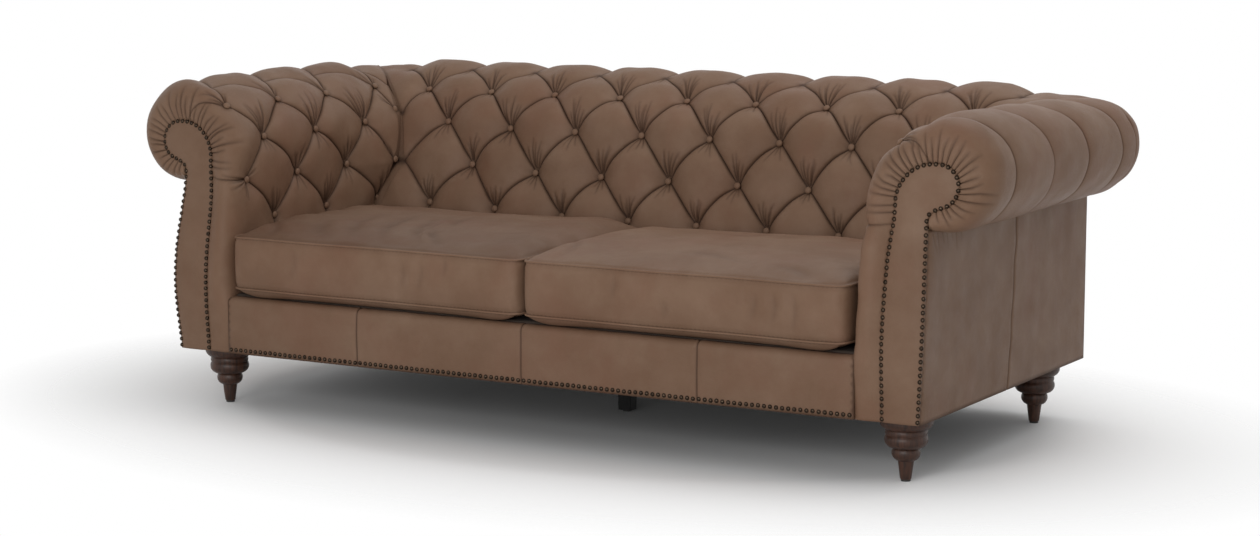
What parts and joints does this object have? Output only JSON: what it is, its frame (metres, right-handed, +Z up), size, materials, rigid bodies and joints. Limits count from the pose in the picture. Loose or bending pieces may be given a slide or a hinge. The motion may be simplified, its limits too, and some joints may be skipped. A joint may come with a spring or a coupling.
{
  "type": "chesterfield sofa",
  "caption": "Deep-buttoned leather sofa for sitting, with rolled arms and back at one height, scroll arm fronts, loose seat cushions and short turned legs.",
  "frame": {"origin": "on the floor, under the middle of the overall width and depth", "axes": "+X along the sofa to the sitter's left, the front faces -Y, +Z up"},
  "size_m": [2.24, 1.018, 0.785],
  "materials": {
    "arm_leather": "semi-aniline, soft sheen",
    "back_leather": "semi-aniline, soft sheen",
    "arm_border_leather": "semi-aniline, soft sheen",
    "arm_facing_leather": "semi-aniline, soft sheen",
    "cushion_leather": "semi-aniline, soft sheen",
    "panel_leather": "semi-aniline, soft sheen",
    "rail_leather": "semi-aniline, soft sheen",
    "deck_cloth": "matte woven platform cloth",
    "dust_cloth": "matte black non-woven",
    "webbing": "matte jute",
    "walnut": "dark walnut, satin lacquer",
    "black_wood": "black stain, matte",
    "glide": "matte",
    "zinc_steel": "zinc plated",
    "liner_board": "plain fibreboard, matte",
    "plywood": "sawn plywood",
    "beech": "planed beech, unfinished"
  },
  "bodies": {
    "sofa": {"arm_border_left": "arm_border_leather", "arm_border_right": "arm_border_leather", "arm_cover_left": "arm_leather", "arm_cover_right": "arm_leather", "arm_facing_left": "arm_facing_leather", "arm_facing_right": "arm_facing_leather", "arm_front_post_left": "beech", "arm_front_post_right": "beech", "arm_ribs_left": "plywood", "arm_ribs_right": "plywood", "arm_roll_liner_left": "liner_board", "arm_roll_liner_right": "liner_board", "arm_tack_rail_left": "beech", "arm_tack_rail_right": "beech", "arm_top_rail_left": "beech", "arm_top_rail_right": "beech", "back_cover": "back_leather", "back_post_left": "beech", "back_post_right": "beech", "back_ribs": "plywood", "back_roll_liner": "liner_board", "back_seat_rail": "beech", "back_tack_rail": "beech", "back_top_rail": "beech", "centre_leg": "black_wood", "centre_rail": "beech", "dust_cover": "dust_cloth", "front_border": "rail_leather", "front_seat_rail": "beech", "glides": "glide", "hanger_bolts": "zinc_steel", "leg_blocks": "beech", "leg_front_left": "walnut", "leg_front_right": "walnut", "leg_rear_left": "walnut", "leg_rear_right": "walnut", "outside_arm_left": "panel_leather", "outside_arm_right": "panel_leather", "outside_back": "panel_leather", "scroll_board_left": "plywood", "scroll_board_right": "plywood", "seat_deck": "deck_cloth", "side_seat_rail_left": "beech", "side_seat_rail_right": "beech", "tee_nuts": "zinc_steel", "webbing_cross": "webbing", "webbing_long": "webbing"},
    "cushion_left": {"seat_cushion_left": "cushion_leather"},
    "cushion_right": {"seat_cushion_right": "cushion_leather"}
  },
  "joints": [
    {"name": "lift_cushion_left", "type": "slide", "parent": "sofa", "child": "cushion_left", "axis": [0, 0, 1], "range_m": [0, 0.55]},
    {"name": "lift_cushion_right", "type": "slide", "parent": "sofa", "child": "cushion_right", "axis": [0, 0, 1], "range_m": [0, 0.55]}
  ]
}
